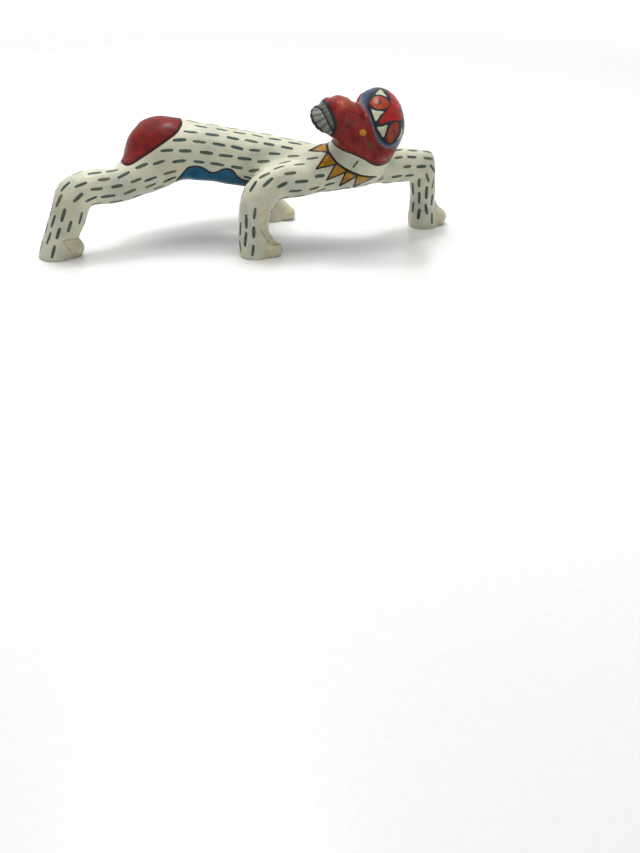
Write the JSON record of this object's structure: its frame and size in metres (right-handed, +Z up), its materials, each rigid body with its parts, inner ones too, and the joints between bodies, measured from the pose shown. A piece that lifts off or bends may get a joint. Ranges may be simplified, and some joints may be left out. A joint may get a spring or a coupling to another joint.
{
  "type": "alebrije",
  "caption": "Carved and painted wooden animal that stands low on bent legs and looks back over its shoulder, jaws open; a free-standing ornament.",
  "frame": {"origin": "on the table, under the middle of the figure's overall box", "axes": "+X forward along the animal, +Y to the animal's left, +Z up"},
  "size_m": [0.247, 0.0892, 0.0931],
  "materials": {
    "coat_paint": "cream hand-painted acrylic with dark dashes under a semi-gloss lacquer",
    "mask_paint": "red hand-painted acrylic with black outlines under a gloss lacquer",
    "bare_wood": "bare soft wood, matt"
  },
  "bodies": {
    "root": {"torso": "coat_paint", "head": "mask_paint", "hind_right_leg": "coat_paint", "hind_left_leg": "coat_paint", "front_right_leg": "coat_paint", "front_left_leg": "coat_paint", "hind_right_peg": "bare_wood", "hind_left_peg": "bare_wood", "front_right_peg": "bare_wood", "front_left_peg": "bare_wood", "neck_peg": "bare_wood"}
  },
  "joints": []
}
